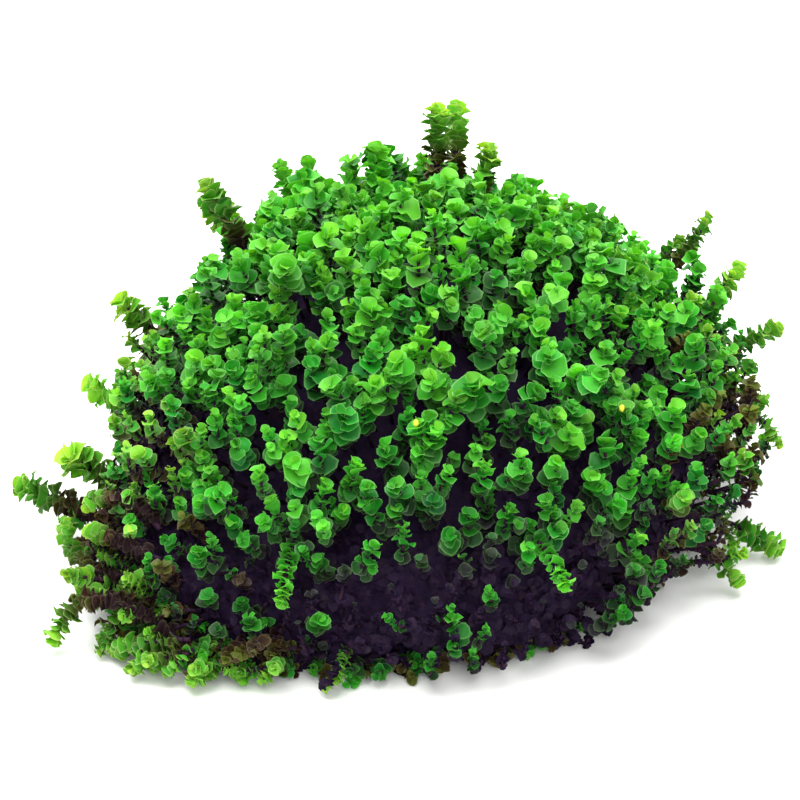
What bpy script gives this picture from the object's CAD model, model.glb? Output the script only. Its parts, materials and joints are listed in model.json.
# %% [markdown]
# # Leafy liverwort cushion
# A leafy liverwort is a small plant without roots or flowers. Each shoot is a thin stem with two rows of
# round, cupped leaves, bright green at the growing tip and brown to almost black below. Several hundred
# shoots stand side by side and make a dome. The solids carry the dome as one body with a knob for each
# shoot, and the loose shoots as bodies of their own. Here every shoot gets its real stem and leaves.

import json
import math
import random
from collections import namedtuple

import bmesh
import bpy
import numpy as np
from mathutils import Matrix, Vector, noise


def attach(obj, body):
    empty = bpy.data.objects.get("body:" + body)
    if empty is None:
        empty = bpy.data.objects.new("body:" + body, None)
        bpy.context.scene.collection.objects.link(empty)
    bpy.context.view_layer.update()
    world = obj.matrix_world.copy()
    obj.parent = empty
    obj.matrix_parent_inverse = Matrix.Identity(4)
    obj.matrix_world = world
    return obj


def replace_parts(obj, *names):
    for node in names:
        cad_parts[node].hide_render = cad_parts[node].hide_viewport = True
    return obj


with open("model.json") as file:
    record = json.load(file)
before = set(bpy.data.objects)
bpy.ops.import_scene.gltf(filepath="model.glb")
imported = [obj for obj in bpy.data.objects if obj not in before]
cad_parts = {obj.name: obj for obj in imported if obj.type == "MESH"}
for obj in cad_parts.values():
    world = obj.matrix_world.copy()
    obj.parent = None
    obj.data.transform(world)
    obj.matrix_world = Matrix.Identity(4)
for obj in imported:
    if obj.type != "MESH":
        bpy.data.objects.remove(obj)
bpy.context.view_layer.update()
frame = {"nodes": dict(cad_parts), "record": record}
MM = 0.001
UP = Vector((0, 0, 1))
print("solids loaded:", len(frame["nodes"]))

# %% [markdown]
# ## The view
# The photograph was taken from a little under half a metre away, looking down by thirty degrees. A pixel
# of it is 0.144 mm at the middle of the cushion. These numbers place the camera, and they also turn a
# pixel of the photograph into a place on the cushion.

# %% View numbers
VIEW_DISTANCE = 450 * MM
VIEW_HEIGHT = math.radians(30)
PIXEL = 0.144 * MM
FRAME_PIXELS = 800
FOCAL_PIXELS = VIEW_DISTANCE / PIXEL
VIEW_NEAR = Vector((0, -math.cos(VIEW_HEIGHT), math.sin(VIEW_HEIGHT)))
view_right = Vector((1, 0, 0))
view_up = Vector((0, math.sin(VIEW_HEIGHT), math.cos(VIEW_HEIGHT)))
aim = view_right * -4.3 * MM + view_up * 15.1 * MM
view_from = aim + VIEW_NEAR * VIEW_DISTANCE
print("camera at:", [round(value, 3) for value in view_from])

# %% [markdown]
# ## Colours and nodes
# Colours are written as the hex values that a screen shows, and the shader wants linear light, so one
# function turns the one into the other. Another adds a node with its settings and its links, which keeps
# each material readable from its first node to its last.


# %% Colour and node helpers
def linear(code):
    """The linear colour, with full alpha, of a screen colour such as 3fae2a."""
    shares = [int(code[at : at + 2], 16) / 255 for at in (0, 2, 4)]
    return (*[share / 12.92 if share <= 0.04045 else ((share + 0.055) / 1.055) ** 2.4 for share in shares], 1)


def add_node(tree, kind, settings=(), **inputs):
    """Adds a node, sets its settings, and gives each named input a value or a link."""
    node = tree.nodes.new(kind)
    for name, value in dict(settings).items():
        setattr(node, name, value)
    for name, value in inputs.items():
        socket = node.inputs[int(name[1:])] if name[1:].isdigit() else node.inputs[name.replace("_", " ")]
        if isinstance(value, bpy.types.NodeSocket):
            tree.links.new(value, socket)
        else:
            socket.default_value = value
    return node


def new_material(name):
    """A material with only its output node."""
    made = bpy.data.materials.new(name)
    made.use_nodes = True
    made.node_tree.nodes.clear()
    return made, made.node_tree, made.node_tree.nodes.new("ShaderNodeOutputMaterial")


def set_ramp(ramp, stops):
    """Gives a Color Ramp node these stops of (position, hex colour)."""
    elements = ramp.color_ramp.elements
    while len(elements) < len(stops):
        elements.new(0.5)
    for element, (position, code) in zip(elements, stops):
        element.position = position
        element.color = linear(code)


print("mid green in linear light:", [round(share, 3) for share in linear("27b51f")])

# %% [markdown]
# ## The living leaf
# A liverwort leaf is one layer of cells, wet and soft, so light comes through it: a leaf with the light
# behind it glows yellow-green. The leaves at the tip are the youngest. Each leaf stores its age, and a ramp
# turns the age into a colour, from the pale bud over bright green to brown and purple-black. A second
# stored value is 1 along the rim, where the leaf is paler and catches the light. One layer of cells is
# about 0.03 mm across each, too fine to show here, so the cell pattern is drawn ten times as coarse.

# %% Leaf material
CELL_SIZE = 0.3 * MM
PATCH_SIZE = 9 * MM
AGE_COLOURS = (
    (0.0, "70d43e"),
    (0.08, "50cc38"),
    (0.24, "38b834"),
    (0.38, "2c942e"),
    (0.5, "347434"),
    (0.64, "3e4c3a"),
    (0.8, "362e3a"),
    (1.0, "2a1d38"),
)
SUNLIT_COLOURS = (
    (0.0, "9cdc4c"),
    (0.08, "70ce3e"),
    (0.24, "4cb638"),
    (0.38, "4c9232"),
    (0.52, "5a622c"),
    (0.66, "4c3628"),
    (0.8, "34222a"),
    (1.0, "261a30"),
)
DRY_COLOURS = (
    (0.0, "84a43c"),
    (0.12, "748434"),
    (0.26, "66622e"),
    (0.42, "55402a"),
    (0.62, "442c2a"),
    (1.0, "2c1a2a"),
)
RIM_COLOUR = "a6e08a"
SUNLIT_RIM_COLOUR = "e4e4a6"
DRY_RIM_COLOUR = "b2a468"
RIM_STRENGTH = 0.65
BRIGHTNESS = (0.6, 1.0)
THROUGH_HUE = 0.465
THROUGH_VALUE = 1.25


def leaf_material(name, stops, rim_colour):
    """Moist living leaf: a soft glossy skin over a body that lets light through."""
    made, tree, output = new_material(name)
    age = add_node(tree, "ShaderNodeAttribute", {"attribute_name": "age"}).outputs["Fac"]
    rim = add_node(tree, "ShaderNodeAttribute", {"attribute_name": "rim"}).outputs["Fac"]
    tone = add_node(tree, "ShaderNodeAttribute", {"attribute_name": "tone"}).outputs["Fac"]
    place = add_node(tree, "ShaderNodeTexCoord").outputs["Object"]
    ramp = add_node(tree, "ShaderNodeValToRGB", Fac=age)
    set_ramp(ramp, stops)
    patches = add_node(tree, "ShaderNodeTexNoise", Vector=place, Scale=1 / PATCH_SIZE, Detail=2.0)
    shade = add_node(
        tree, "ShaderNodeMapRange", Value=patches.outputs["Fac"], From_Min=0.3, From_Max=0.7, To_Min=BRIGHTNESS[0], To_Max=BRIGHTNESS[1]
    )
    value = add_node(
        tree, "ShaderNodeMath", {"operation": "MULTIPLY_ADD"}, i0=tone, i1=0.32, i2=shade.outputs["Result"]
    )
    hue = add_node(tree, "ShaderNodeMath", {"operation": "MULTIPLY_ADD"}, i0=tone, i1=-0.03, i2=0.497)
    body = add_node(
        tree,
        "ShaderNodeHueSaturation",
        Hue=hue.outputs[0],
        Saturation=1.0,
        Value=value.outputs[0],
        Color=ramp.outputs["Color"],
    )
    edge = add_node(
        tree, "ShaderNodeMapRange", Value=rim, From_Min=0.62, From_Max=1.0, To_Min=0.0, To_Max=RIM_STRENGTH
    )
    young = add_node(tree, "ShaderNodeMapRange", Value=age, From_Min=0.45, From_Max=0.8, To_Min=1.0, To_Max=0.25)
    amount = add_node(
        tree, "ShaderNodeMath", {"operation": "MULTIPLY"}, i0=edge.outputs["Result"], i1=young.outputs["Result"]
    )
    colour = add_node(
        tree,
        "ShaderNodeMix",
        {"data_type": "RGBA"},
        i0=amount.outputs[0],
        i6=body.outputs["Color"],
        i7=linear(rim_colour),
    ).outputs[2]
    cells = add_node(tree, "ShaderNodeTexVoronoi", Vector=place, Scale=1 / CELL_SIZE)
    bump = add_node(
        tree,
        "ShaderNodeBump",
        {"invert": True},
        Height=cells.outputs["Distance"],
        Strength=0.3,
        Distance=0.06 * MM,
    )
    skin = add_node(
        tree,
        "ShaderNodeBsdfPrincipled",
        Base_Color=colour,
        Roughness=0.42,
        IOR=1.4,
        Specular_IOR_Level=0.35,
        Normal=bump.outputs["Normal"],
    )
    yellower = add_node(
        tree, "ShaderNodeHueSaturation", Hue=THROUGH_HUE, Saturation=1.0, Value=THROUGH_VALUE, Color=colour
    )
    through = add_node(
        tree, "ShaderNodeBsdfTranslucent", Color=yellower.outputs["Color"], Normal=bump.outputs["Normal"]
    )
    both = add_node(tree, "ShaderNodeMixShader", i0=0.5, i1=skin.outputs[0], i2=through.outputs[0])
    tree.links.new(both.outputs[0], output.inputs["Surface"])
    return made


LIVING = leaf_material("living_liverwort_leaf", AGE_COLOURS, RIM_COLOUR)
SUNLIT = leaf_material("sunlit_liverwort_leaf", SUNLIT_COLOURS, SUNLIT_RIM_COLOUR)
DRY = leaf_material("drying_liverwort_leaf", DRY_COLOURS, DRY_RIM_COLOUR)
print("leaf materials:", LIVING.name, SUNLIT.name, DRY.name)

# %% [markdown]
# ## Old stems
# Below the green the stems and old leaves are brown to purple-black and matted together. They are dull,
# with only a faint wet sheen, and their colour wanders between brown and purple.

# %% Stem and felt material
FIBRE_SIZE = 1.1 * MM
STEM_COLOURS = ((0.3, "1c0e2a"), (0.5, "28152a"), (0.75, "3c2022"))
FELT_COLOURS = ((0.3, "130820"), (0.5, "1a0d26"), (0.75, "281628"))
DEAD_COLOURS = ((0.3, "160a24"), (0.55, "1f1028"), (0.8, "30242a"))


def stem_material(name, stops, roughness):
    """Old stem tissue, dark and dull, mottled at the size of a stem."""
    made, tree, output = new_material(name)
    place = add_node(tree, "ShaderNodeTexCoord").outputs["Object"]
    mottle = add_node(tree, "ShaderNodeTexNoise", Vector=place, Scale=1 / FIBRE_SIZE, Detail=4.0)
    ramp = add_node(tree, "ShaderNodeValToRGB", Fac=mottle.outputs["Fac"])
    set_ramp(ramp, stops)
    bump = add_node(tree, "ShaderNodeBump", Height=mottle.outputs["Fac"], Strength=0.6, Distance=0.4 * MM)
    skin = add_node(
        tree,
        "ShaderNodeBsdfPrincipled",
        Base_Color=ramp.outputs["Color"],
        Roughness=roughness,
        Specular_IOR_Level=0.12,
        Normal=bump.outputs["Normal"],
    )
    tree.links.new(skin.outputs[0], output.inputs["Surface"])
    return made


OLD_STEM = stem_material("old_liverwort_stem", STEM_COLOURS, 0.7)
FELT = stem_material("rotting_liverwort_felt", FELT_COLOURS, 0.8)
DEAD = stem_material("dead_liverwort_leaf", DEAD_COLOURS, 0.65)
RIPE, ripe_tree, ripe_output = new_material("ripe_liverwort_bud")
ripe_skin = add_node(ripe_tree, "ShaderNodeBsdfPrincipled", Base_Color=linear("cfcc38"), Roughness=0.35, IOR=1.4)
ripe_tree.links.new(ripe_skin.outputs[0], ripe_output.inputs["Surface"])
print("stem materials:", OLD_STEM.name, DEAD.name, FELT.name, RIPE.name)

# %% [markdown]
# ## One leaf
# A leaf is nearly round, wider than long, thin, and cupped like a hand. It starts as a sphere of a few
# dozen faces, which is closed and points outwards. Flattened, it has a rim all round, and bending it
# upwards towards its sides makes the cup. The base is at the origin, and the leaf runs along +Y with its
# hollow side up. Leaves of thin, dry shoots are narrow and pointed, and their tips bend back.

# %% Leaf templates
LEAF_FLATNESS = 0.03
FLAT_RIM = 0.8


def leaf_template(name, segments, rings, base, point, cup, curl, ruffle, waves):
    """A thin leaf of length and width 1: how wide its base is, how pointed it is, and its bends."""
    bm = bmesh.new()
    bmesh.ops.create_uvsphere(bm, u_segments=segments, v_segments=rings, radius=0.5)
    rim = bm.verts.layers.float.new("rim")
    rim_value = 1.0 if rings > 2 else FLAT_RIM
    for vert in bm.verts:
        vert[rim] = rim_value if abs(vert.co.z) < 0.01 else 0.0
    bmesh.ops.scale(bm, vec=(1, 1, LEAF_FLATNESS), verts=bm.verts)
    bmesh.ops.translate(bm, vec=(0, 0.5, 0), verts=bm.verts)
    for vert in bm.verts:
        x, y, z = vert.co
        wave = ruffle * math.sin(waves * math.atan2(x, y - 0.5) + segments) * vert[rim]
        x *= base + (1 - base) * min(1, y / 0.45)
        x *= 1 - point * max(0, y - 0.45) / 0.55
        vert.co = (x, y, z + cup * x * x + curl * max(0, y - 0.25) ** 2 + wave)
    mesh = bpy.data.meshes.new(name)
    bm.to_mesh(mesh)
    bm.free()
    return mesh


ROUND_LEAF = leaf_template("round_leaf", 13, 4, base=0.85, point=0.05, cup=1.2, curl=0.1, ruffle=0.06, waves=3)
WAVY_LEAF = leaf_template("wavy_leaf", 13, 4, base=0.85, point=0.0, cup=0.8, curl=-0.6, ruffle=0.11, waves=5)
LOWER_LEAF = leaf_template("lower_leaf", 10, 2, base=0.75, point=0.1, cup=0.9, curl=-0.4, ruffle=0.08, waves=3)
POINTED_LEAF = leaf_template("pointed_leaf", 8, 2, base=0.8, point=0.6, cup=0.8, curl=-0.8, ruffle=0.03, waves=2)
OLD_LEAF = leaf_template("old_leaf", 7, 2, base=0.7, point=0.3, cup=0.8, curl=-0.5, ruffle=0.05, waves=2)
TEMPLATES = (ROUND_LEAF, WAVY_LEAF, LOWER_LEAF, POINTED_LEAF, OLD_LEAF)
for made in TEMPLATES:
    print(made.name, "triangles:", sum(len(face.vertices) - 2 for face in made.polygons))

# %% [markdown]
# ## Many leaves in one mesh
# Thousands of leaves as thousands of objects would be slow. Instead, every leaf of a piece is worked out
# as a matrix, and arrays move copies of the one leaf into a single mesh. Each copy carries its age and a
# random tone, which the leaf material reads.

# %% Joining copies
Placed = namedtuple("Placed", "template matrix age tone material")
GROUND = 0.05 * MM
RIM_ANGLE = math.radians(100)
triangle_counts = []


def copies_of(template, placed):
    """Arrays for a copy of the template at each placed matrix: points, face sizes, corners and values."""
    count = len(template.vertices)
    points = np.empty(count * 3, np.float32)
    template.vertices.foreach_get("co", points)
    points = np.c_[points.reshape(-1, 3), np.ones(count)]
    rim = np.zeros(count, np.float32)
    if "rim" in template.attributes:
        template.attributes["rim"].data.foreach_get("value", rim)
    sizes = np.array([len(face.vertices) for face in template.polygons])
    corners = np.concatenate([np.array(face.vertices[:]) for face in template.polygons])
    matrices = np.array([leaf.matrix for leaf in placed])[:, :3, :]
    moved = np.einsum("nij,pj->npi", matrices, points).reshape(-1, 3)
    moved[:, 2] = np.maximum(moved[:, 2], GROUND)
    corners = (corners + count * np.arange(len(placed))[:, None]).ravel()
    ages = np.repeat([leaf.age for leaf in placed], count)
    tones = np.repeat([leaf.tone for leaf in placed], count)
    return moved, np.tile(sizes, len(placed)), corners, ages, tones, np.tile(rim, len(placed))


def join_copies(name, placed, slot):
    """One mesh with a copy of its template at each placed matrix, in its own material."""
    parts = []
    chosen_materials = []
    materials = list(dict.fromkeys(leaf.material for leaf in placed))
    first = 0
    for template in TEMPLATES + (STEM, BUD):
        chosen = [leaf for leaf in placed if leaf.template is template]
        if chosen:
            part = list(copies_of(template, chosen))
            part[2] = part[2] + first
            first += len(part[0])
            parts.append(part)
            numbers = [materials.index(leaf.material) for leaf in chosen]
            chosen_materials.append(np.repeat(numbers, len(template.polygons)))
    points, sizes, corners, ages, tones, rims = (np.concatenate(arrays) for arrays in zip(*parts))
    mesh = bpy.data.meshes.new(name)
    mesh.vertices.add(len(points))
    mesh.vertices.foreach_set("co", points.astype(np.float32).ravel())
    mesh.loops.add(len(corners))
    mesh.loops.foreach_set("vertex_index", corners.astype(np.int32))
    mesh.polygons.add(len(sizes))
    mesh.polygons.foreach_set("loop_start", np.r_[0, np.cumsum(sizes)[:-1]].astype(np.int32))
    for material in materials:
        mesh.materials.append(material)
    mesh.polygons.foreach_set("material_index", np.concatenate(chosen_materials).astype(np.int32))
    mesh.update(calc_edges=True)
    for key, value in (("age", ages), ("tone", tones), ("rim", rims)):
        mesh.attributes.new(key, "FLOAT", "POINT").data.foreach_set("value", value.astype(np.float32))
    mesh.shade_smooth()
    mesh.set_sharp_from_angle(angle=RIM_ANGLE)
    triangle_counts.append(int(np.sum(sizes - 2)))
    print(f"{name}: {len(placed)} copies, {triangle_counts[-1]} triangles")
    return add_piece(name, mesh, slot)


def stem_template():
    """A thin six-sided rod of length 1 along +Y, of diameter 1."""
    bm = bmesh.new()
    bmesh.ops.create_cone(bm, cap_ends=True, segments=6, radius1=0.5, radius2=0.5, depth=1)
    bmesh.ops.rotate(bm, matrix=Matrix.Rotation(math.radians(-90), 3, "X"), verts=bm.verts)
    bmesh.ops.translate(bm, vec=(0, 0.5, 0), verts=bm.verts)
    mesh = bpy.data.meshes.new("stem_template")
    bm.to_mesh(mesh)
    bm.free()
    return mesh


def bud_template():
    """An egg-shaped bud of width 1."""
    bm = bmesh.new()
    bmesh.ops.create_uvsphere(bm, u_segments=10, v_segments=6, radius=0.5)
    bmesh.ops.scale(bm, vec=(1, 1, 1.3), verts=bm.verts)
    mesh = bpy.data.meshes.new("bud_template")
    bm.to_mesh(mesh)
    bm.free()
    return mesh


STEM = stem_template()
BUD = bud_template()


def stem_between(root, tip, width, material=OLD_STEM, age=1.0):
    """The stem template, stretched from root to tip."""
    axis = tip - root
    side = axis.orthogonal().normalized()
    other = axis.normalized().cross(side)
    made = Matrix.Identity(4)
    for column, vector in enumerate((other * width, axis, side * width)):
        made.col[column] = (*vector, 0)
    made.col[3] = (*root, 1)
    return Placed(STEM, made, age, 0, material)


def add_piece(name, mesh, slot):
    """An object for this mesh, riding on the cushion's body with the finish of this slot."""
    made = bpy.data.objects.new(name, mesh)
    bpy.context.scene.collection.objects.link(made)
    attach(made, "root")
    return made


# %% [markdown]
# ## Where the shoots stand
# The solids place their shoots by rule: directions spread evenly over a dome, each turned from the last
# by the golden angle and then moved a little. The same rule with the same numbers here gives the same
# places, so that every leafy shoot stands on its own knob.

# %% Shoot places
DOME_RADIUS = 49 * MM
FOOT_TUCK = 4 * MM
TUCK_HEIGHT = 12 * MM
Spread = namedtuple("Spread", "compass width reach")
SPREADS = (Spread(-138, 30, 7 * MM), Spread(-8, 22, 2.5 * MM), Spread(60, 40, 2 * MM))
SPREAD_FADE = 3
SHOOT_SPACING = 5.55 * MM
SPACING_JITTER = 0.12
LOWEST_SHOOT = 0.045
GAP_DEPTH = 7 * MM
TIP_VARIATION = 1.2 * MM
UPWARD_LEAN = 0.25
GOLDEN_ANGLE = math.pi * (3 - math.sqrt(5))


def towards(compass, height):
    """The direction with this compass angle and height above the ground."""
    across = math.cos(math.radians(height))
    turn = math.radians(compass)
    return Vector((across * math.cos(turn), across * math.sin(turn), math.sin(math.radians(height))))


def lot(number, use):
    """An even draw from -1 to 1, always the same for this shoot and this use."""
    return random.Random(f"{use} {number}").uniform(-1, 1)


def tip_radius(direction):
    """How far the shoot tips stand from the middle of the foot in this direction."""
    compass = math.degrees(math.atan2(direction.y, direction.x))
    spread = 0.0
    for lobe in SPREADS:
        turn = (compass - lobe.compass + 180) % 360 - 180
        spread += lobe.reach * math.exp(-((turn / lobe.width) ** 2))
    spread *= (1 - max(direction.z, 0)) ** SPREAD_FADE
    tuck = FOOT_TUCK * max(0, 1 - direction.z * DOME_RADIUS / TUCK_HEIGHT) ** 2
    return DOME_RADIUS + spread - tuck


def shoot_directions():
    """Directions spread evenly over the dome, each turned from the last by the golden angle."""
    cell = math.sqrt(3) / 2 * SHOOT_SPACING**2
    count = round(4 * math.pi * DOME_RADIUS**2 / cell)
    jitter = SPACING_JITTER * SHOOT_SPACING / DOME_RADIUS
    for number in range(count):
        z = 1 - (2 * number + 1) / count
        if z < LOWEST_SHOOT:
            break
        across = math.sqrt(1 - z * z)
        turn = number * GOLDEN_ANGLE
        even = Vector((across * math.cos(turn), across * math.sin(turn), z))
        moved = Vector((lot(number, "x"), lot(number, "y"), lot(number, "z")))
        yield number, (even + jitter * moved).normalized()


def lean_of(direction, share):
    """The outward direction turned towards straight up by this share."""
    return (direction * (1 - share) + UP * share).normalized()


SHOOTS = dict(shoot_directions())
print("packed shoots:", len(SHOOTS))

# %% [markdown]
# ## One shoot
# Leaves sit on alternate sides of the stem. At the tip they are small and stand almost upright, so they
# close into a bud. Further down each leaf is larger and leans further out. A leaf is placed by the point
# where it leaves the stem, the direction it points in, and the side that its hollow faces.

# %% Leaves along a stem
Habit = namedtuple("Habit", "width length pitch bud_angle full_angle opening_length green_length turn loose core")
STEM_WIDTH = 0.5 * MM
YOUNG_STEM_WIDTH = 0.38 * MM
CLASP = 0.14
TIP_BACK = 1.1 * MM
LOWER_AGE = 0.25
DEAD_AGE = 0.8
DEAD_SIZE = 0.8
SHRINK = 0.25
TWIST = 0.42
TWIST_STEP = 2.4


def leaf_matrix(point, axis, side, opening, width, length, depth):
    """Places a leaf on a stem: it leans out from the axis by the opening angle, hollow side inwards."""
    out = axis * math.cos(opening) + side * math.sin(opening)
    inner = axis * math.sin(opening) - side * math.cos(opening)
    across = out.cross(inner)
    made = Matrix.Identity(4)
    for column, vector in enumerate((across * width, out * length, inner * depth)):
        made.col[column] = (*vector, 0)
    made.col[3] = (*(point - out * CLASP * length), 1)
    return made


def point_back(path, back):
    """The point this far back from the end of a path of straight steps, and the direction there."""
    for here, after in zip(path[-2::-1], path[:0:-1]):
        step = (after - here).length
        axis = (after - here) / step
        if back <= step:
            return after - axis * back, axis
        back -= step
    return path[0] - axis * back, axis


def leaves_along(path, leafy, habit, dice, templates, material, age_shift=0.0, pale=0.0, oldest=1.0):
    """The leaves of a shoot, from its tip back along its path, and its young stem."""
    placed = []
    roll = dice.uniform(0, 2 * math.pi)
    tone = pale + dice.gauss(0, 0.25)
    back = TIP_BACK
    number = 0
    while back < leafy:
        point, axis = point_back(path, back)
        start = axis.orthogonal().normalized()
        turn = roll + habit.turn * number + dice.gauss(0, habit.loose)
        side = start * math.cos(turn) + axis.cross(start) * math.sin(turn)
        grown = min(1, (back - TIP_BACK + 0.3 * MM) / habit.opening_length)
        size = (0.45 + 0.55 * grown**0.7) * dice.uniform(0.7, 1.25)
        opening = math.radians(habit.bud_angle + (habit.full_angle - habit.bud_angle) * grown)
        opening += dice.gauss(0, habit.loose * 0.7)
        age = (back - TIP_BACK) / habit.green_length + age_shift + dice.gauss(0, 0.05)
        age = min(oldest, max(0, age))
        size *= 1 - SHRINK * age
        template, finish = dice.choice(templates), material
        if age > DEAD_AGE:
            template, finish, size = OLD_LEAF, DEAD, size * DEAD_SIZE
        elif age > LOWER_AGE:
            template = LOWER_LEAF
        width, length = habit.width * size, habit.length * size
        base = point + side * habit.core
        matrix = leaf_matrix(base, axis, side, opening, width, length, length * dice.uniform(0.7, 1.7))
        matrix @= Matrix.Rotation(TWIST * math.sin(roll + TWIST_STEP * number), 4, "Y")
        placed.append(Placed(template, matrix, age, tone + dice.gauss(0, 0.12), finish))
        back += habit.pitch * (0.5 + 0.5 * grown) * dice.uniform(0.8, 1.2)
        number += 1
    top, axis = point_back(path, TIP_BACK + 0.3 * MM)
    young = min(leafy, TIP_BACK + 3.2 * MM)
    placed.append(stem_between(point_back(path, young)[0], top, YOUNG_STEM_WIDTH, material, 0.35 + age_shift))
    return placed


PACKED = Habit(
    width=3.25 * MM,
    length=2.4 * MM,
    pitch=0.56 * MM,
    bud_angle=26,
    full_angle=60,
    opening_length=2.1 * MM,
    green_length=8.5 * MM,
    turn=math.radians(168),
    loose=0.42,
    core=0.0,
)
trial = leaves_along([Vector(), UP * 12 * MM], 9 * MM, PACKED, random.Random(1), [ROUND_LEAF], LIVING)
print("a packed shoot has", len(trial), "leaves")

# %% [markdown]
# ## Lines of the loose shoots
# The shoots that stand clear of the cushion are solids of their own. Their bent lines come first, because
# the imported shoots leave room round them.

# %% Lines of the loose shoots
ROOT_DEPTH = 9 * MM
BARE_LENGTH = 6.5 * MM
BEND_OUTWARDS = 0.5
Loose = namedtuple("Loose", "name root tip distance bow girth tint branches")
LOOSE_SHOOTS = [
    Loose("shoot_crown_left", (87, 67), (87, 70), 57.2, 0.0, 3.2, "brown", 0),
    Loose("shoot_crown_right", (81, 55), (83, 56), 58.0, 0.0, 3.0, "brown", 0),
    Loose("shoot_crown_short", (72, 62), (69, 64), 52.6, 0.0, 3.2, "brown", 0),
    Loose("shoot_crown_cone", (114, 66), (118, 70), 53.2, 0.0, 3.8, "green", 0),
    Loose("shoot_brow_outer", (133, 51), (131, 52), 53.6, 0.0, 2.6, "green", 0),
    Loose("shoot_brow_inner", (120, 48), (120, 48), 54.2, 0.0, 2.2, "green", 0),
    Loose("shoot_shoulder_left", (164, 53), (158, 53), 57.2, 0.4, 3.4, "brown", 0),
    Loose("shoot_shoulder_right", (31, 33), (32, 36), 58.6, 0.0, 2.2, "brown", 0),
    Loose("shoot_right_high", (18, 29), (22, 33), 56.0, 0.0, 2.6, "green", 0),
    Loose("shoot_right_reaching", (8, 23), (10, 26), 56.4, 1.5, 2.8, "brown", 0),
    Loose("shoot_right_trailing", (1, 22), (-3, 13), 57.0, 4.5, 1.8, "brown", 0),
    Loose("shoot_right_low", (-18, 8), (-17, 4), 53.0, 1.0, 2.8, "green", 0),
    Loose("shoot_right_drooping", (-30, 8), (-29, 2.5), 53.0, 1.5, 2.6, "green", 1),
    Loose("shoot_left_high", (167, 31), (166, 32), 54.2, 0.0, 3.4, "brown", 0),
    Loose("shoot_left_middle", (177, 20), (175, 21), 52.8, 0.0, 3.4, "green", 0),
    Loose("shoot_left_low", (-170, 12), (-173, 15), 53.4, 0.0, 3.2, "brown", 0),
    Loose("shoot_left_far", (-158, 8), (-172, 9.5), 59.0, 0.5, 3.0, "brown", 1),
    Loose("shoot_left_curled", (-151, 4), (-161, 3), 57.5, 1.5, 2.4, "brown", 1),
    Loose("shoot_corner_upper", (-142, 7.5), (-147, 6), 60.5, 1.0, 2.8, "green", 4),
    Loose("shoot_corner_drooping", (-134, 5), (-140, 1.8), 64.0, 2.5, 3.0, "brown", 6),
    Loose("shoot_corner_low", (-126, 4.5), (-132, 1.8), 59.5, 1.0, 2.8, "green", 4),
    Loose("shoot_front_left_outer", (-119, 4.5), (-124, 1.8), 58.0, 1.0, 2.8, "green", 4),
    Loose("shoot_front_left_inner", (-113, 4.5), (-116, 1.8), 54.0, 1.0, 2.6, "brown", 3),
    Loose("shoot_front_dark", (-104, 7), (-105, 3), 52.5, 1.0, 2.4, "brown", 1),
    Loose("shoot_front_hanging_left", (-117, 24), (-112, 16), 54.0, 2.5, 3.0, "green", 0),
    Loose("shoot_front_hanging_right", (-72, 25), (-67, 18), 54.0, 2.5, 3.0, "green", 0),
]
BACK_COUNT = 9
BACK_COMPASS = (16, 150)
BACK_HEIGHT = (7, 42)
BACK_REACH = (3.5, 9.0)
BACK_GIRTH = (2.4, 3.4)
BACK_BOW = 0.5
BACK_WANDER = 3
BACK_LIFT = 3
GOLDEN_SHARE = (math.sqrt(5) - 1) / 2


def back_shoots():
    """Loose shoots round the far side of the cushion, evenly mixed in place and size."""
    for number in range(BACK_COUNT):
        share = (number + 0.5) / BACK_COUNT
        mixed = (number * GOLDEN_SHARE) % 1
        compass = BACK_COMPASS[0] + share * (BACK_COMPASS[1] - BACK_COMPASS[0])
        height = BACK_HEIGHT[0] + mixed * (BACK_HEIGHT[1] - BACK_HEIGHT[0])
        reach = BACK_REACH[0] + (1 - mixed) * (BACK_REACH[1] - BACK_REACH[0])
        girth = BACK_GIRTH[0] + share * (BACK_GIRTH[1] - BACK_GIRTH[0])
        tip = (compass + BACK_WANDER * lot(number, "wander"), height + BACK_LIFT)
        distance = tip_radius(towards(*tip)) / MM + reach
        tint = "brown" if number % 2 else "green"
        name = f"shoot_back_{number + 1:02d}"
        yield Loose(name, (compass, height), tip, distance, BACK_BOW, girth, tint, 2)


SHORTER = {
    "shoot_right_trailing": 6.0,
    "shoot_right_low": 2.5,
    "shoot_right_drooping": 4.5,
    "shoot_back_01": 6,
    "shoot_back_04": 6,
    "shoot_left_curled": 5,
    "shoot_corner_drooping": 6.5,
    "shoot_corner_upper": 3.5,
    "shoot_front_left_outer": 1.5,
    "shoot_front_left_inner": 2.5,
    "shoot_front_dark": 3,
}
BOW_CHANGES = {
    "shoot_corner_drooping": 2,
    "shoot_right_trailing": -1.5,
    "shoot_left_far": -2,
    "shoot_left_low": -1.5,
    "shoot_left_middle": -1,
    "shoot_left_high": -1,
    "shoot_shoulder_right": -1.2,
    "shoot_right_high": -1.2,
}


TIP_MOVES = {
    "shoot_shoulder_left": (0.3, -1.0),
    "shoot_left_high": (0.3, -1.2),
    "shoot_left_middle": (0.6, -1.2),
    "shoot_left_low": (0.3, -1.5),
    "shoot_left_far": (0.0, -1.0),
    "shoot_front_hanging_right": (-3.0, 0.0),
    "shoot_shoulder_right": (0.5, -0.5),
    "shoot_right_high": (1.0, -0.8),
    "shoot_right_reaching": (-0.4, -0.6),
    "shoot_right_low": (0.4, -2.0),
    "shoot_crown_short": (0.4, -0.8),
    "shoot_crown_cone": (0.8, -1.2),
}


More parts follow.
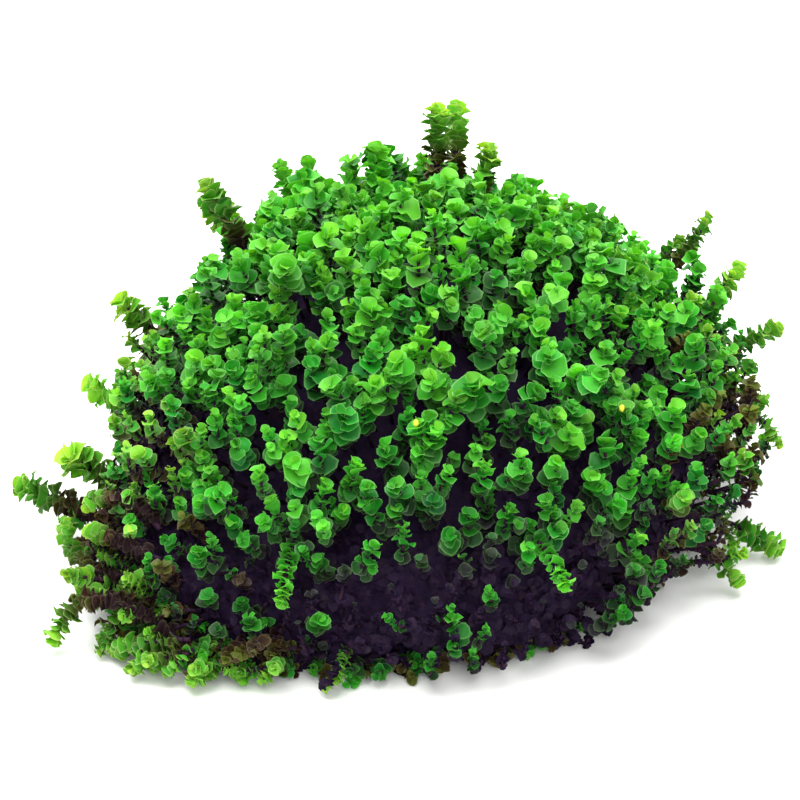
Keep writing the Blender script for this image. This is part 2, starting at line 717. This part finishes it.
def path_of(loose, steps=16):
    """The bent line of a loose shoot as short straight steps, from its root to its tip."""
    root = towards(*loose.root)
    start = root * (tip_radius(root) - ROOT_DEPTH)
    tip = towards(*loose.tip) * (loose.distance - SHORTER.get(loose.name, 0)) * MM
    across, upwards = TIP_MOVES.get(loose.name, (0, 0))
    tip += Vector((across, 0, upwards)) * MM
    chord = (tip - start).normalized()
    outward = UP + BEND_OUTWARDS * root
    outward = (outward - chord * outward.dot(chord)).normalized()
    bow = loose.bow + BOW_CHANGES.get(loose.name, 0)
    middle = (start + tip) / 2 + 2 * bow * MM * outward
    shares = [step / steps for step in range(steps + 1)]
    return [start.lerp(middle, share).lerp(middle.lerp(tip, share), share) for share in shares]


LOOSE_SHOOTS += list(back_shoots())
PATHS = {loose.name: path_of(loose) for loose in LOOSE_SHOOTS}
ELBOW_ROOM = 3.2 * MM
FREE_STEPS = 6


def room_lost(tip):
    """How far this tip lies within the room of a loose shoot, from 0 to 1."""
    nearest = min((point - tip).length for path in PATHS.values() for point in path[FREE_STEPS:])
    return max(0, 1 - nearest / ELBOW_ROOM)


print("loose shoots:", len(LOOSE_SHOOTS))

# %% [markdown]
# ## Light and dead places
# The cushion isn't the same all over. Low in front it is dark and mostly dead, with a few living tips.
# Low on the left and right many shoots are drying to olive and brown. Here and there a shoot has died
# back and leaves a dark hollow. Each place is given by compass and height on the dome, and the shoots
# read their state from there.

# %% State of the dome
Patch = namedtuple("Patch", "compass height width reach amount")
DEAD_PATCHES = (Patch(-87, 8, 32, 19, 1.0), Patch(-40, 2, 26, 14, 0.5), Patch(-140, 4, 24, 10, 0.4))
DRY_PATCHES = (
    Patch(-152, 4, 26, 18, 0.3),
    Patch(172, 10, 22, 18, 0.24),
    Patch(-12, 14, 26, 22, 0.3),
    Patch(90, 6, 60, 14, 0.2),
)
PATCH_WOBBLE = 0.35
PATCH_GRAIN = 6 * MM
HOLLOW_PIXELS = (
    (495, 410, 1.4),
    (489, 359, 1.0),
    (460, 436, 1.0),
    (397, 420, 1.1),
    (420, 491, 1.0),
    (483, 491, 1.1),
    (444, 264, 0.9),
    (512, 267, 1.0),
    (487, 294, 0.9),
    (522, 325, 1.0),
    (396, 307, 1.0),
    (502, 242, 0.9),
    (315, 276, 0.9),
    (291, 301, 1.0),
    (338, 356, 1.0),
    (252, 269, 0.9),
    (290, 366, 1.0),
    (585, 333, 1.3),
    (642, 358, 1.3),
    (675, 355, 1.0),
)
HOLLOW_RADIUS = 2.9 * MM
HOLLOW_SINK = 4.5 * MM
OUTLINE_DIPS = (
    (158, 41, 2.1),
    (166, 30, 1.2),
    (172, 24, 1.2),
    (177, 14, 1.7),
    (-176, 16, 1.4),
    (-2, 11, 1.8),
    (-7, 8, 2.4),
    (-12, 4, 2.2),
    (63, 62, 0.9),
)
DRAWN_IN = (Patch(-29, -6, 35, 18, 1.0), Patch(-80, -6, 22, 12, 0.45))
DRAWN_DEPTH = 7.5 * MM


def amount_at(patches, direction):
    """How strongly these patches reach a direction, from 0 to 1."""
    compass = math.degrees(math.atan2(direction.y, direction.x))
    height = math.degrees(math.asin(direction.z))
    wobble = 1 + PATCH_WOBBLE * noise.noise(direction * (DOME_RADIUS / PATCH_GRAIN))
    strongest = 0.0
    for patch in patches:
        aside = ((compass - patch.compass + 180) % 360 - 180) / patch.width * wobble
        above = max(0, height - patch.height) / patch.reach * wobble
        strongest = max(strongest, patch.amount * math.exp(-(aside**6)) * math.exp(-(above**6)))
    return strongest


def surface_radius(direction):
    """The radius of the shoot tips, drawn in at the foot where the photograph shows an overhang."""
    return tip_radius(direction) - DRAWN_DEPTH * amount_at(DRAWN_IN, direction)


def seen_at(x, y):
    """The direction of the place on the dome that the photograph shows at this pixel."""
    ray = (view_right * (x - 400) + view_up * (400 - y)) / FOCAL_PIXELS - VIEW_NEAR
    ray = ray.normalized()
    for step in range(400):
        point = view_from + ray * (VIEW_DISTANCE - 65 * MM + step * 0.3 * MM)
        if point.length < tip_radius(point.normalized()):
            return point.normalized()
    return None


HOLLOWS = [(seen_at(x, y), size * HOLLOW_RADIUS) for x, y, size in HOLLOW_PIXELS]
HOLLOWS += [(towards(compass, height), size * HOLLOW_RADIUS) for compass, height, size in OUTLINE_DIPS]


def sunk_at(direction):
    """How far a shoot here stays below its neighbours, because it stands in a hollow."""
    deepest = 0.0
    for middle, radius in HOLLOWS:
        near = (direction - middle).length * DOME_RADIUS / radius
        deepest = max(deepest, HOLLOW_SINK * math.exp(-(near**4)))
    return deepest


print("hollows found:", sum(middle is not None for middle, radius in HOLLOWS))

# %% [markdown]
# ## The felt of old stems
# Between the shoots one looks down on a dark felt of old stems. It is a dome under the tips, cut off flat
# where the cushion sat, and roughened by noise the size of a few stems. It comes nearer to the tips where
# the shoots are dead.

# %% Felt dome
FELT_DEPTH = 11.5 * MM
FOOT_FELT_DEPTH = 6.5 * MM
FOOT_FELT_HEIGHT = 0.4
DEAD_RISE = 3 * MM
FILLED_PATCHES = DEAD_PATCHES + (Patch(-140, -5, 32, 22, 1.4), Patch(178, 14, 22, 24, 1.2))
FELT_BUMP = 1.6 * MM
FELT_LUMP = 3.5 * MM


def felt_radius(direction):
    """How far the felt stands from the middle of the foot in this direction."""
    lump = noise.noise(direction * (DOME_RADIUS / FELT_LUMP))
    lump += 0.5 * noise.noise(direction * (2.3 * DOME_RADIUS / FELT_LUMP))
    rise = min(1, direction.z / FOOT_FELT_HEIGHT)
    depth = FOOT_FELT_DEPTH + (FELT_DEPTH - FOOT_FELT_DEPTH) * rise
    depth -= DEAD_RISE * amount_at(FILLED_PATCHES, direction)
    return surface_radius(direction) - depth + FELT_BUMP * lump


def felt_dome():
    """The closed dome of felt under the shoots."""
    bm = bmesh.new()
    bmesh.ops.create_icosphere(bm, subdivisions=6, radius=1)
    everything = bm.verts[:] + bm.edges[:] + bm.faces[:]
    cut = bmesh.ops.bisect_plane(
        bm, geom=everything, plane_co=(0, 0, 0), plane_no=(0, 0, 1), clear_inner=True, dist=1e-5
    )
    rim = [item for item in cut["geom_cut"] if isinstance(item, bmesh.types.BMEdge)]
    bmesh.ops.holes_fill(bm, edges=rim)
    for vert in bm.verts:
        direction = vert.co.normalized()
        vert.co = direction * felt_radius(direction)
    bmesh.ops.recalc_face_normals(bm, faces=bm.faces)
    mesh = bpy.data.meshes.new("felt_of_old_stems")
    bm.to_mesh(mesh)
    bm.free()
    mesh.shade_smooth()
    mesh.set_sharp_from_angle(angle=math.radians(60))
    mesh.materials.append(FELT)
    return add_piece("felt_of_old_stems", mesh, "old_leaf_brown")


felt = felt_dome()
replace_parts(felt, "cushion")
print("felt triangles:", sum(len(face.vertices) - 2 for face in felt.data.polygons))

# %% [markdown]
# ## Leaf litter on the felt
# Dead leaves lie on the felt, each as it fell. They cover it where the cushion is dead and thin out
# elsewhere.

# %% Leaf litter
LITTER_TRIES = 7000
LITTER_SHARE = 0.2
LITTER_SIZE = (1.1 * MM, 2.1 * MM)
LITTER_HEIGHT = 0.62


def fallen_leaf(direction, dice):
    """A dead leaf lying on the felt, tilted at random."""
    side = direction.orthogonal().normalized()
    turn = dice.uniform(0, 2 * math.pi)
    side = side * math.cos(turn) + direction.cross(side) * math.sin(turn)
    size = dice.uniform(*LITTER_SIZE)
    point = direction * felt_radius(direction)
    opening = math.radians(dice.uniform(35, 100))
    matrix = leaf_matrix(point, direction, side, opening, size, size, size * dice.uniform(0.6, 2))
    return Placed(OLD_LEAF, matrix, 1.0, 0, dice.choice((DEAD, DEAD, FELT)))


litter_dice = random.Random("litter")
litter = []
for number in range(LITTER_TRIES):
    z = litter_dice.uniform(0.03, LITTER_HEIGHT)
    turn = number * GOLDEN_ANGLE
    direction = Vector((math.cos(turn), math.sin(turn), 0)) * math.sqrt(1 - z * z) + UP * z
    if litter_dice.random() < LITTER_SHARE + amount_at(FILLED_PATCHES, direction):
        litter.append(fallen_leaf(direction, litter_dice))
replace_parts(join_copies("leaf_litter", litter, "old_leaf_brown"), "cushion")

# %% [markdown]
# ## Scaly shoots
# An old shoot that stands free keeps its leaves. They are dry and brown and stand close behind one another
# all round the stem, so that the shoot looks like a thick scaly column.

# %% Scaly habit
SCALY = Habit(
    width=1.7 * MM,
    length=1.6 * MM,
    pitch=0.15 * MM,
    bud_angle=20,
    full_angle=58,
    opening_length=1.2 * MM,
    green_length=8 * MM,
    turn=GOLDEN_ANGLE,
    loose=0.3,
    core=0.55 * MM,
)
SCALY_STEM = 1.2 * MM
print("leaves on ten millimetres of scaly shoot:", round(10 * MM / SCALY.pitch))

# %% [markdown]
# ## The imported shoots
# Each shoot reaches the tip of its knob and leans a little more upwards than outwards, as shoots do that
# grow towards the light. Most have one or two young shoots beside them, branched off below the tip, which
# fill the gaps. The leaves go into the piece for their part of the dome, so that no piece holds too many
# faces.

# %% Packed shoots
SHOOT_LEAN = 0.6
UPRIGHT_LENGTH = 5 * MM
ROOT_LENGTH = 7 * MM
ROOT_LEAN = 0.15
LEAFY_LENGTH = 7.6 * MM
SIZES = (0.8, 1.22)
LOW_SIZE = 0.7
SIDE_SIZE = 0.76
HEIGHT_PALE = 0.5
MIDDLE_HEIGHT = 0.55
BRANCHES = ((0.5, 0.85), (0.2, 0.75))
BRANCHES_HIGH_UP = (0.35, 0.4)
MOST_ROOM_LOST = 0.6
SUNLIT_FROM = 0.62
SUNLIT_SHARE = 0.85
TIP_SCATTER = 0.6 * MM
BRANCH_REACH = (2.3 * MM, 3.3 * MM)
BRANCH_DROP = (0.0, 2.6 * MM)
LIT_SHARE = 0.04
DEAD_SHIFT = 0.75
HOLLOW_SHIFT = 0.3
CROWDED_SINK = 6 * MM
LOW_SHIFT = 0.2
LOW_HEIGHT = 0.5
GREEN_HIGH_UP = 0.45


def tip_of(number, direction):
    """The tip of this packed shoot, the same as the top of its knob."""
    length = GAP_DEPTH + TIP_VARIATION * lot(number, "length")
    return direction * (tip_radius(direction) - GAP_DEPTH) + lean_of(direction, UPWARD_LEAN) * length


SECTORS = ("front_left", "front", "front_right", "back_right", "back", "back_left")
CROWN_HEIGHT = 0.82


def region_of(direction):
    """The part of the dome that a shoot belongs to."""
    if direction.z > CROWN_HEIGHT:
        return "crown_near" if direction.y < 0 else "crown_far"
    compass = math.degrees(math.atan2(direction.y, direction.x))
    return SECTORS[int((compass + 180) // 60) % len(SECTORS)]


placed_in = {}


def plant_shoot(tip, size, dice, alive=False):
    """Adds the leaves and the stem of one packed shoot with its tip here."""
    direction = tip.normalized()
    if room_lost(tip) > MOST_ROOM_LOST:
        return
    wander = Vector((dice.gauss(0, 0.26), dice.gauss(0, 0.26), 0))
    axis = (lean_of(direction, SHOOT_LEAN) + wander).normalized()
    sunk = 0.0 if alive else sunk_at(direction) + room_lost(tip) * CROWDED_SINK
    tip = tip - direction * (sunk + DRAWN_DEPTH * amount_at(DRAWN_IN, direction))
    dead = amount_at(DEAD_PATCHES, direction)
    alive = alive or dice.random() < LIT_SHARE
    shift = 0.0 if alive else DEAD_SHIFT * dead
    shift += sunk / HOLLOW_SINK * HOLLOW_SHIFT + LOW_SHIFT * max(0, 1 - direction.z / LOW_HEIGHT)
    dry = not alive and dice.random() < (1 - dead) * amount_at(DRY_PATCHES, direction)
    aside = max(0, abs(direction.x) - SUNLIT_FROM) / (1 - SUNLIT_FROM)
    sunny = dice.random() < SUNLIT_SHARE * aside
    size *= (LOW_SIZE + (1 - LOW_SIZE) * direction.z) * (1 - (1 - SIDE_SIZE) * aside)
    turn = dice.choice((PACKED.turn, GOLDEN_ANGLE))
    green = PACKED.green_length * (1 + GREEN_HIGH_UP * direction.z**2)
    habit = PACKED._replace(width=PACKED.width * size, length=PACKED.length * size, turn=turn, green_length=green)
    templates, material = [ROUND_LEAF, WAVY_LEAF], SUNLIT if sunny else LIVING
    if dry:
        habit = SCALY._replace(green_length=7 * MM, pitch=0.25 * MM, core=0.2 * MM, turn=PACKED.turn)
        templates, material = [LOWER_LEAF, OLD_LEAF], DRY
    elbow = tip - axis * UPRIGHT_LENGTH
    path = [elbow - lean_of(direction, ROOT_LEAN) * ROOT_LENGTH, elbow, tip]
    placed = placed_in.setdefault(region_of(direction), [])
    pale = HEIGHT_PALE * (direction.z - MIDDLE_HEIGHT)
    placed += leaves_along(path, LEAFY_LENGTH, habit, dice, templates, material, shift, pale)
    placed.append(stem_between(path[0], elbow, STEM_WIDTH))
    placed.append(stem_between(elbow, tip - axis * 3 * MM, STEM_WIDTH))


for number, direction in SHOOTS.items():
    dice = random.Random(number)
    tip = tip_of(number, direction)
    tip += direction * dice.gauss(0, 1) * TIP_SCATTER
    plant_shoot(tip, dice.uniform(*SIZES), dice)
    side = direction.orthogonal().normalized()
    turn = dice.uniform(0, 2 * math.pi)
    for (chance, size), more in zip(BRANCHES, BRANCHES_HIGH_UP):
        turn += dice.uniform(1.6, 3.0)
        around = side * math.cos(turn) + direction.cross(side) * math.sin(turn)
        place = tip + around * dice.uniform(*BRANCH_REACH) - direction * dice.uniform(*BRANCH_DROP)
        if dice.random() < chance + more * direction.z**2 and place.z > 2.5 * MM:
            plant_shoot(place, size * dice.uniform(0.85, 1.2), dice)

print("regions:", {region: len(placed) for region, placed in placed_in.items()})

# %% [markdown]
# ## Single shoots and leaves of the photograph
# Some shoots of the photograph are easy to tell apart, so they get their own places: the few living tips
# in the dark hollow, the shoots that lift the outline, two with unusually large leaves, and two that carry
# a ripe yellow bud.

# %% Single shoots
LIVING_PIXELS = (
    (377, 561),
    (380, 611),
    (455, 603),
    (487, 586),
    (489, 621),
    (452, 640),
    (473, 646),
    (432, 650),
    (424, 667),
    (530, 540),
    (540, 558),
    (300, 545),
    (622, 605),
    (640, 575),
)
RAISED_PLACES = (
    (18, 39, 52),
    (22, 36, 51),
    (15, 34, 52),
    (12, 30, 51.5),
    (7, 24, 51.5),
    (4, 19, 51),
    (1, 15, 51),
    (21, 40, 52.5),
    (14, 36, 52.5),
    (10, 29, 51.5),
    (94, 64, 50.5),
    (101, 60, 50.5),
    (105, 63, 52),
    (112, 62, 52.5),
    (117, 60, 51.5),
    (132, 58, 52),
    (138, 52, 51),
    (169, 28, 50.5),
    (-174, 12, 51.5),
    (-172, 8, 52),
)
LARGE_LEAFED_PIXELS = ((472, 376), (598, 374))
BUD_PIXELS = ((416, 418), (622, 403))
BUD_SIZE = 0.8 * MM

for x, y in LIVING_PIXELS:
    direction = seen_at(x, y)
    dice = random.Random(f"living {x}")
    plant_shoot(direction * tip_radius(direction), dice.uniform(0.6, 0.78), dice, alive=True)
for compass, height, distance in RAISED_PLACES:
    dice = random.Random(f"raised {compass}")
    plant_shoot(towards(compass, height) * distance * MM, dice.uniform(1.0, 1.2), dice, alive=True)
for x, y in LARGE_LEAFED_PIXELS:
    direction = seen_at(x, y)
    plant_shoot(direction * tip_radius(direction), 1.35, random.Random(f"large {x}"), alive=True)
for x, y in BUD_PIXELS:
    direction = seen_at(x, y)
    dice = random.Random(f"bud {x}")
    tip = direction * (tip_radius(direction) + 0.3 * MM)
    plant_shoot(tip, 1.0, dice, alive=True)
    matrix = Matrix.Translation(tip - lean_of(direction, SHOOT_LEAN) * 1.2 * MM + VIEW_NEAR * 0.6 * MM)
    placed_in[region_of(direction)].append(Placed(BUD, matrix @ Matrix.Scale(BUD_SIZE, 4), 0, 0, RIPE))
print("single shoots:", len(LIVING_PIXELS) + len(RAISED_PLACES) + len(BUD_PIXELS))

# %% [markdown]
# ## The fringe at the foot
# Round the foot small old sprigs lie on the ground and give the cushion a ragged edge. They point
# outwards, evenly spread and each moved a little. At the left front corner they are longer and stand in a
# thicket, and in front a few more lie close together.

# %% Foot fringe
Fringe = namedtuple("Fringe", "count compass width reach height length size dry")
FRINGES = (
    Fringe(110, 0, 180, (-3.0, 0.4), (0.9, 3.2), 6, 1.7, 0.5),
    Fringe(64, -138, 24, (-1.5, 5.5), (1.0, 9.0), 9, 1.8, 0.65),
    Fringe(24, -92, 26, (-2.5, 0.5), (0.9, 2.5), 6, 2.0, 0.4),
    Fringe(20, -133, 10, (2.0, 4.5), (0.8, 2.2), 7, 1.8, 0.6),
    Fringe(12, -97, 7, (-0.5, 2.0), (0.8, 2.0), 6, 1.8, 0.3),
)
SPRIG = PACKED._replace(pitch=0.5 * MM, green_length=9 * MM, loose=0.4)
for fringe in FRINGES:
    for number in range(fringe.count):
        dice = random.Random(f"sprig {fringe.compass} {number}")
        share = (number + dice.uniform(0.1, 0.9)) / fringe.count
        compass = fringe.compass + fringe.width * (2 * share - 1)
        direction = towards(compass, 2)
        tip = direction * (surface_radius(direction) + dice.uniform(*fringe.reach) * MM)
        tip.z = dice.uniform(*fringe.height) * MM
        root = tip - towards(compass + dice.gauss(0, 18), dice.uniform(-12, 20)) * fringe.length * MM
        habit = SPRIG._replace(width=fringe.size * MM, length=fringe.size * MM)
        material = DRY if dice.random() < fringe.dry else LIVING
        placed = placed_in[region_of(direction)]
        templates = [POINTED_LEAF, LOWER_LEAF, ROUND_LEAF]
        leafy = (fringe.length - 1) * MM
        placed += leaves_along([root, tip], leafy, habit, dice, templates, material, dice.uniform(0.05, 0.4))
        placed.append(stem_between(root, tip - (tip - root) * 0.4, STEM_WIDTH))
print("sprigs:", sum(fringe.count for fringe in FRINGES))

# %% [markdown]
# ## Strays at the left corner
# At the left front corner a few more shoots lie over the edge. They grow out of the same mass, so they
# belong to its piece. Each is given by three pixels of the photograph with heights above the ground: its
# root, the top of its bend and its tip.

# %% Corner strays
Stray = namedtuple("Stray", "root middle tip girth tint")
CORNER_STRAYS = (
    Stray((178, 640, 5), (76, 555, 13), (55, 642, 2), 3.6, "brown"),
    Stray((190, 640, 5), (150, 640, 6), (112, 650, 1.5), 2.8, "green"),
    Stray((200, 650, 4), (160, 655, 5), (132, 668, 1.5), 2.8, "brown"),
    Stray((205, 645, 4), (185, 650, 6), (166, 676, 1.5), 2.2, "green"),
    Stray((215, 640, 4), (205, 645, 6), (196, 664, 1.5), 2.2, "green"),
    Stray((130, 575, 8), (72, 580, 6), (64, 522, 10), 2.0, "brown"),
    Stray((150, 610, 6), (115, 600, 9), (88, 590, 6), 2.4, "brown"),
    Stray((230, 655, 4), (235, 655, 5), (240, 682, 1.2), 1.8, "brown"),
    Stray((160, 560, 12), (120, 540, 13), (90, 532, 11), 2.4, "dry"),
    Stray((160, 530, 14), (125, 480, 18), (86, 506, 13), 2.2, "dry"),
    Stray((705, 520, 7), (722, 515, 8), (735, 548, 4), 2.6, "dry"),
)


def above_ground(x, y, height):
    """The point this many millimetres above the ground that the photograph shows at this pixel."""
    ray = (view_right * (x - 400) + view_up * (400 - y)) / FOCAL_PIXELS - VIEW_NEAR
    return view_from + ray * ((height * MM - view_from.z) / ray.z)


TIP_REACH = 0.9 * MM
PALE_TIPS = 0.4
STRAY_STEM = 0.8 * MM
STRAY_OLDEST = 0.78
STRAY_GREEN = {"green": 22 * MM, "brown": 15 * MM, "dry": 8 * MM}
SIDE = 30 * MM
LYING_HEIGHT = 10 * MM
LYING_SHARE = 0.86
LYING_SHIFT = 0.04
LYING_PALE = 0.2
UPRIGHT_SHARE = 1.12
LEAF_SHARES = {
    "shoot_front_hanging_left": 0.66,
    "shoot_front_hanging_right": 0.66,
    "shoot_left_far": 1.5,
    "shoot_left_low": 1.25,
    "shoot_right_low": 1.4,
    "shoot_right_drooping": 1.2,
    "shoot_crown_cone": 0.85,
}
BACK_SHARE = 0.85


def clothe(path, girth, tint, leafy, dice):
    """The stem and the close leaves along a path, pale green at its tip and brown further back."""
    path = path[:-1] + [path[-1] + (path[-1] - path[-2]).normalized() * TIP_REACH]
    lying = path[-1].z < LYING_HEIGHT
    girth *= LYING_SHARE if lying else UPRIGHT_SHARE
    shift, pale = (LYING_SHIFT, LYING_PALE) if lying else (0, PALE_TIPS)
    material = LIVING if tint == "green" and abs(path[-1].x) < SIDE else SUNLIT
    habit = PACKED._replace(
        width=girth * 0.9,
        length=girth * 0.66,
        pitch=0.23 * MM,
        full_angle=54,
        opening_length=1.7 * MM,
        green_length=STRAY_GREEN[tint],
        turn=GOLDEN_ANGLE,
        loose=0.34,
        core=girth * 0.08,
    )
    templates = [ROUND_LEAF, WAVY_LEAF]
    placed = leaves_along(path, leafy, habit, dice, templates, material, shift, pale, STRAY_OLDEST)
    lower = [point for point in path if (point - path[-1]).length > 3 * MM] or path[:2]
    placed += [stem_between(here, after, STRAY_STEM) for here, after in zip(lower, lower[1:])]
    return placed


for stray in CORNER_STRAYS:
    dice = random.Random(f"corner {stray.tip}")
    root, middle, tip = (above_ground(*place) for place in (stray.root, stray.middle, stray.tip))
    steps = [step / 12 for step in range(13)]
    line = [root.lerp(middle, share).lerp(middle.lerp(tip, share), share) for share in steps]
    length = sum((after - here).length for here, after in zip(line, line[1:]))
    placed_in[region_of(line[6].normalized())] += clothe(line, stray.girth * MM, stray.tint, length, dice)
print("corner strays:", len(CORNER_STRAYS))

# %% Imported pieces
for region, placed in placed_in.items():
    piece = join_copies(f"leafy_shoots_{region}", placed, "liverwort_green")
    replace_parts(piece, "cushion")

# %% [markdown]
# ## The loose shoots
# Each loose shoot gets its leaves on its own bent line. A brown one is scaly, with a few fresh round
# leaves at its tip, and some have branches of the same kind.

# %% Loose pieces
def branches_of(loose, path, dice):
    """Side shoots along a loose shoot, as pairs of root and tip."""
    for number in range(loose.branches):
        share = 0.25 + 0.6 * (number + dice.uniform(0.2, 0.8)) / loose.branches
        place = path[round(share * (len(path) - 1))]
        axis = (path[-1] - path[0]).normalized()
        side = axis.orthogonal().normalized()
        turn = GOLDEN_ANGLE * number + dice.uniform(0, 1)
        side = side * math.cos(turn) + axis.cross(side) * math.sin(turn)
        out = (axis + side * dice.uniform(0.6, 1.1)).normalized()
        tip = place + out * dice.uniform(4, 6.5) * MM
        tip.z = max(tip.z, 1.2 * MM)
        yield place, tip


def loose_piece(loose):
    """The leaves and the stem of one loose shoot and its branches, joined as one piece."""
    dice = random.Random(loose.name)
    path = PATHS[loose.name]
    length = sum((after - here).length for here, after in zip(path, path[1:]))
    placed = [stem_between(here, after, STEM_WIDTH) for here, after in zip(path[:-3], path[1:-2])]
    usual = BACK_SHARE if loose.name.startswith("shoot_back") else 1
    girth = loose.girth * MM * LEAF_SHARES.get(loose.name, usual)
    placed += clothe(path, girth, loose.tint, length - BARE_LENGTH * 0.5, dice)
    for root, tip in branches_of(loose, path, dice):
        steps = [root.lerp(tip, share / 6) for share in range(7)]
        placed += clothe(steps, girth * 0.8, loose.tint, (tip - root).length * 0.9, dice)
        placed.append(stem_between(root, root.lerp(tip, 0.6), STEM_WIDTH))
    made = join_copies("leafy_" + loose.name, placed, slot_of[loose.name])
    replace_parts(made, loose.name)
    return len(placed)


slot_of = {part["node"]: part["material_slot"] for part in frame["record"]["subparts"]}
loose_leaves = sum(loose_piece(loose) for loose in LOOSE_SHOOTS)
print("leaves and stems on loose shoots:", loose_leaves)

# %% [markdown]
# ## Floor, light and camera
# The photograph shows the cushion on white with soft light from above. A broad light stands over it and a
# weaker one in front. The camera looks down at it by thirty degrees from a little under half a metre.

# %% Stage
FLOOR_SIZE = 4.0
floor_bm = bmesh.new()
bmesh.ops.create_grid(floor_bm, x_segments=1, y_segments=1, size=FLOOR_SIZE / 2)
floor_mesh = bpy.data.meshes.new("studio_floor")
floor_bm.to_mesh(floor_mesh)
floor_bm.free()
floor = bpy.data.objects.new("studio_floor", floor_mesh)
bpy.context.scene.collection.objects.link(floor)
paper, paper_tree, paper_output = new_material("matt_white_paper")
sheet = add_node(paper_tree, "ShaderNodeBsdfPrincipled", Base_Color=linear("f4f4f2"), Roughness=0.9)
paper_tree.links.new(sheet.outputs[0], paper_output.inputs["Surface"])
floor_mesh.materials.append(paper)

world = bpy.data.worlds.new("studio_air")
bpy.context.scene.world = world
world.use_nodes = True
world.node_tree.nodes["Background"].inputs["Color"].default_value = (1, 1, 1, 1)
world.node_tree.nodes["Background"].inputs["Strength"].default_value = 0.8


def area_light(name, place, aim, size, power):
    """A square soft light at a place, pointed at its aim."""
    data = bpy.data.lights.new(name, "AREA")
    data.size = size
    data.energy = power
    made = bpy.data.objects.new(name, data)
    made.location = place
    made.rotation_euler = (Vector(aim) - Vector(place)).to_track_quat("-Z", "Y").to_euler()
    bpy.context.scene.collection.objects.link(made)


area_light("softbox_above", (-0.04, 0.05, 0.6), (0, 0, 0.02), 0.7, 9.5)
area_light("softbox_front", (0.15, -0.65, 0.5), (0, 0, 0.02), 0.5, 2.5)
area_light("softbox_behind", (-0.1, 0.6, 0.3), (0, 0, 0.03), 0.6, 3)
bpy.context.scene.view_settings.view_transform = "Standard"

# %% Camera
SENSOR = 36
camera_data = bpy.data.cameras.new("photo_camera")
camera_data.sensor_width = SENSOR
camera_data.lens = SENSOR * FOCAL_PIXELS / FRAME_PIXELS
camera = bpy.data.objects.new("photo_camera", camera_data)
place = Matrix((view_right, view_up, VIEW_NEAR)).transposed().to_4x4()
place.translation = view_from
camera.matrix_world = place
bpy.context.scene.collection.objects.link(camera)
bpy.context.scene.camera = camera
print("lens:", round(camera_data.lens, 1), "mm")

# %% Sizes and finish
print("triangles of shoots:", sum(triangle_counts), "the largest piece:", max(triangle_counts))
for template in TEMPLATES + (STEM, BUD):
    bpy.data.meshes.remove(template)
